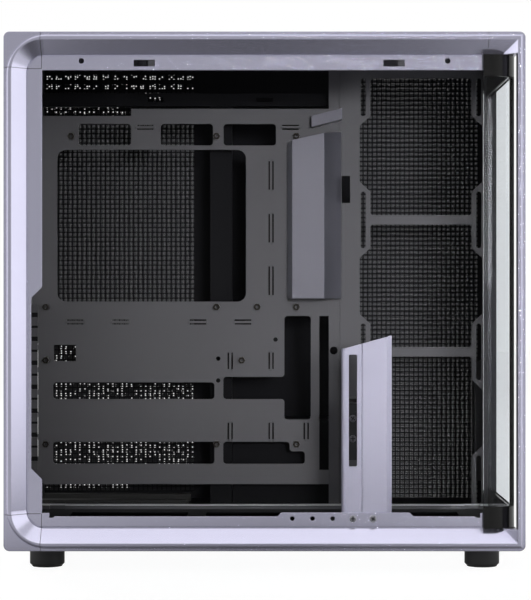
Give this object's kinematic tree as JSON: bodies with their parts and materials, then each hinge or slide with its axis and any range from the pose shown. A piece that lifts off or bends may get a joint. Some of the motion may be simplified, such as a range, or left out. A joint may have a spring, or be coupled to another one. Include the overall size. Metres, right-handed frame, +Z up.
{
  "type": "mid tower pc case",
  "caption": "Two-chamber computer case with a bevelled aluminium frame, bent front glass, dark steel tray, side fan plate, cable cover and graphics card holder, shown with its side panel off.",
  "frame": {"origin": "on the floor under the middle of the case", "axes": "+X towards the case front, -Y towards the open left side, +Z up"},
  "size_m": [0.43, 0.285, 0.444],
  "materials": {
    "silver_aluminium": "satin",
    "dark_steel": "matt",
    "grey_aluminium": "satin",
    "black_plastic": "matt",
    "rubber": "matt",
    "screw_steel": "satin",
    "clear_glass": "clear",
    "black_band": "gloss",
    "brass": "dark",
    "arm_steel": "matt",
    "button_metal": "satin"
  },
  "bodies": {
    "root": {"side_frame": "silver_aluminium", "top_shell": "silver_aluminium", "bottom_shell": "silver_aluminium", "front_panel": "silver_aluminium", "card_holder": "silver_aluminium", "rear_panel": "dark_steel", "right_panel": "dark_steel", "motherboard_tray": "dark_steel", "fan_plate": "dark_steel", "chassis_rail": "dark_steel", "floor_panel": "dark_steel", "top_fan_bracket": "dark_steel", "panel_latches": "dark_steel", "drive_bracket": "dark_steel", "drive_cage": "dark_steel", "slot_shelf": "dark_steel", "glass_header": "dark_steel", "slot_cover_1": "dark_steel", "slot_cover_2": "dark_steel", "slot_cover_3": "dark_steel", "slot_cover_4": "dark_steel", "slot_cover_5": "dark_steel", "slot_cover_6": "dark_steel", "slot_cover_7": "dark_steel", "cable_cover": "grey_aluminium", "cable_cover_cap": "grey_aluminium", "floor_rail": "grey_aluminium", "foot_1": "black_plastic", "foot_2": "black_plastic", "foot_3": "black_plastic", "foot_4": "black_plastic", "io_module": "black_plastic", "audio_jack": "black_plastic", "foot_pads": "rubber", "glass_pads": "rubber", "supply_rails": "rubber", "slot_screws": "screw_steel", "card_holder_screws": "screw_steel", "usb_ports": "screw_steel", "usb_c_port": "screw_steel", "front_glass": "clear_glass", "glass_band_top": "black_band", "glass_band_bottom": "black_band", "standoffs": "brass"},
    "card_arm": {"card_arm": "arm_steel", "card_arm_pad": "rubber", "card_arm_screws": "screw_steel"},
    "power_button": {"power_button": "button_metal"}
  },
  "joints": [
    {"name": "card_arm_slide", "type": "slide", "parent": "root", "child": "card_arm", "axis": [0, 0, 1], "range_m": [-0.018, 0.048]},
    {"name": "power_button_press", "type": "slide", "parent": "root", "child": "power_button", "axis": [-1, 0, 0], "range_m": [0, 0.0015], "stiffness_N_per_m": 600}
  ]
}
